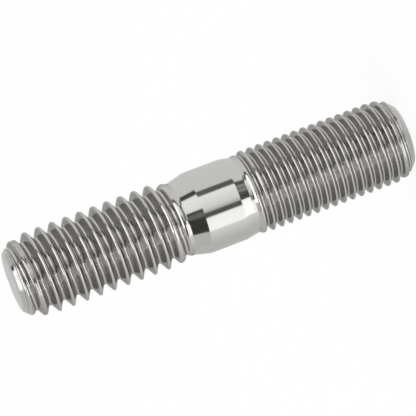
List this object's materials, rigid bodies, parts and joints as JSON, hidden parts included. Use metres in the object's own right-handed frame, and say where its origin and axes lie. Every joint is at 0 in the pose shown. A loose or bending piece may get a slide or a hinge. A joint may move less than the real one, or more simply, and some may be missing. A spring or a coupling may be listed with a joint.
{
  "type": "double ended stud",
  "caption": "Double ended steel stud: a coarse thread on one end, a fine thread on the other, and a plain barrel between them.",
  "frame": {"origin": "middle of the fine-threaded end face, on the surface that the stud stands on", "axes": "+Z along the stud's axis, from the fine-threaded end to the coarse-threaded end; +X is an arbitrary direction across it"},
  "size_m": [0.0094, 0.0094, 0.046],
  "materials": {
    "stud_steel": "bright bare steel: rolled threads satin, barrel and end faces turned and polished"
  },
  "bodies": {
    "root": {"stud": "stud_steel"}
  },
  "joints": []
}
